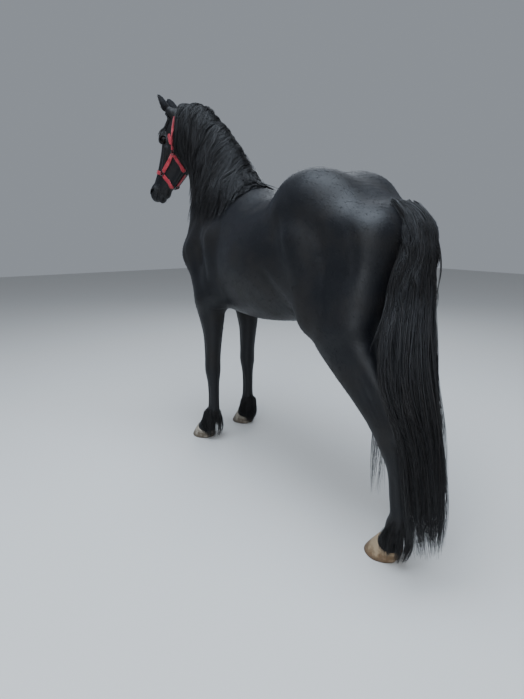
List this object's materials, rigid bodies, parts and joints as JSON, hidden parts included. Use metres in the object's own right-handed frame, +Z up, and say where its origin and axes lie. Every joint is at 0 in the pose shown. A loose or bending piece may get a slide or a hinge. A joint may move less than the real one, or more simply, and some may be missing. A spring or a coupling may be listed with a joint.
{
  "type": "friesian horse",
  "caption": "Still life-size model of a standing black horse with arched neck, long mane, full tail and feathered feet, in a web halter.",
  "frame": {"origin": "on the floor, under the middle of the model's box", "axes": "+X towards the head, +Y to the horse's left, +Z up"},
  "size_m": [2.4096, 0.6838, 2.1925],
  "materials": {
    "coat": "short glossy black hair, long wavy black mane and tail",
    "horn": "matt brown hoof horn with growth rings",
    "eye": "wet dark brown",
    "webbing": "woven red nylon web",
    "iron": "dark lacquered steel rings"
  },
  "bodies": {
    "root": {"torso": "coat", "neck": "coat", "head": "coat", "ear_left": "coat", "eye_left": "eye", "ear_right": "coat", "eye_right": "eye", "leg_fore_left": "coat", "fetlock_fore_left": "coat", "hoof_fore_left": "horn", "leg_fore_right": "coat", "fetlock_fore_right": "coat", "hoof_fore_right": "horn", "leg_hind_left": "coat", "fetlock_hind_left": "coat", "hoof_hind_left": "horn", "leg_hind_right": "coat", "fetlock_hind_right": "coat", "hoof_hind_right": "horn", "tail": "coat", "halter_ring_cheek_left": "iron", "halter_ring_nose_left": "iron", "halter_cheekpiece_left": "webbing", "halter_crown_left": "webbing", "halter_chin_left": "webbing", "halter_throat_left": "webbing", "halter_ring_cheek_right": "iron", "halter_ring_nose_right": "iron", "halter_cheekpiece_right": "webbing", "halter_crown_right": "webbing", "halter_chin_right": "webbing", "halter_throat_right": "webbing", "halter_noseband": "webbing"}
  },
  "joints": []
}
